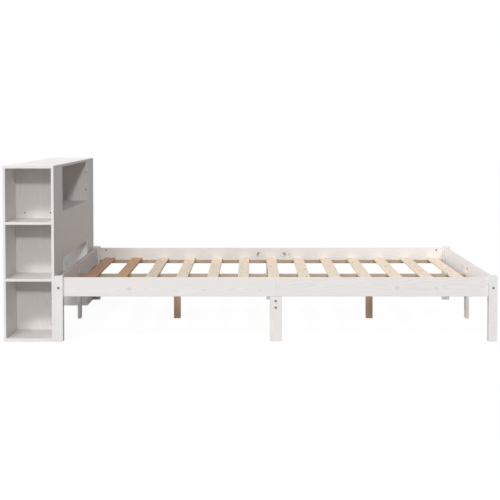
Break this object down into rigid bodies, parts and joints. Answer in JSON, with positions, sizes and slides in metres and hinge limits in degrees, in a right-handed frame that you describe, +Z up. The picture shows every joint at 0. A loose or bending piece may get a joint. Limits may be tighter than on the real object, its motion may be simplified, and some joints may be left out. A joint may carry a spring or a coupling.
{
  "type": "bookcase headboard bed",
  "caption": "Low slatted bed frame whose headboard is a tall bookcase, with open cubbies at both ends and a niche above the pillow.",
  "frame": {"origin": "on the floor, in the middle of the whole length and of the whole width", "axes": "+X from the bookcase to the foot of the bed, +Y from the near side to the far side, +Z up"},
  "size_m": [2.32, 1.455, 0.827],
  "materials": {
    "whitewashed_pine": "satin",
    "natural_pine": "satin",
    "zinc_steel": "satin"
  },
  "bodies": {
    "root": {"back_board_far": "whitewashed_pine", "back_board_near": "whitewashed_pine", "barrel_nuts": "zinc_steel", "beam_splice": "natural_pine", "bookcase_top": "whitewashed_pine", "bottom_board_far": "whitewashed_pine", "bottom_board_near": "whitewashed_pine", "case_screws": "zinc_steel", "centre_back_panel": "whitewashed_pine", "centre_beam_foot": "natural_pine", "centre_beam_head": "natural_pine", "centre_front_panel": "whitewashed_pine", "centre_leg_foot": "natural_pine", "centre_leg_head": "natural_pine", "divider_far": "whitewashed_pine", "divider_near": "whitewashed_pine", "end_leg_blocks": "natural_pine", "foot_leg_far": "whitewashed_pine", "foot_leg_near": "whitewashed_pine", "foot_mid_leg": "whitewashed_pine", "foot_rail_far": "whitewashed_pine", "foot_rail_near": "whitewashed_pine", "front_stile_far": "whitewashed_pine", "front_stile_near": "whitewashed_pine", "head_mid_leg": "whitewashed_pine", "head_post_far": "whitewashed_pine", "head_post_near": "whitewashed_pine", "head_rail_far": "whitewashed_pine", "head_rail_near": "whitewashed_pine", "leg_bolts": "zinc_steel", "lower_shelf_far": "whitewashed_pine", "lower_shelf_near": "whitewashed_pine", "niche_shelf": "whitewashed_pine", "rail_joint_hardware": "zinc_steel", "short_bolts": "zinc_steel", "side_leg_blocks": "natural_pine", "side_mid_leg_far": "whitewashed_pine", "side_mid_leg_near": "whitewashed_pine", "side_rail_far_foot": "whitewashed_pine", "side_rail_far_head": "whitewashed_pine", "side_rail_near_foot": "whitewashed_pine", "side_rail_near_head": "whitewashed_pine", "slat_01": "natural_pine", "slat_02": "natural_pine", "slat_03": "natural_pine", "slat_04": "natural_pine", "slat_05": "natural_pine", "slat_06": "natural_pine", "slat_07": "natural_pine", "slat_08": "natural_pine", "slat_09": "natural_pine", "slat_10": "natural_pine", "slat_11": "natural_pine", "slat_12": "natural_pine", "slat_13": "natural_pine", "slat_ledge_far": "natural_pine", "slat_ledge_near": "natural_pine", "slat_screws": "zinc_steel", "upper_shelf_far": "whitewashed_pine", "upper_shelf_near": "whitewashed_pine"}
  },
  "joints": []
}
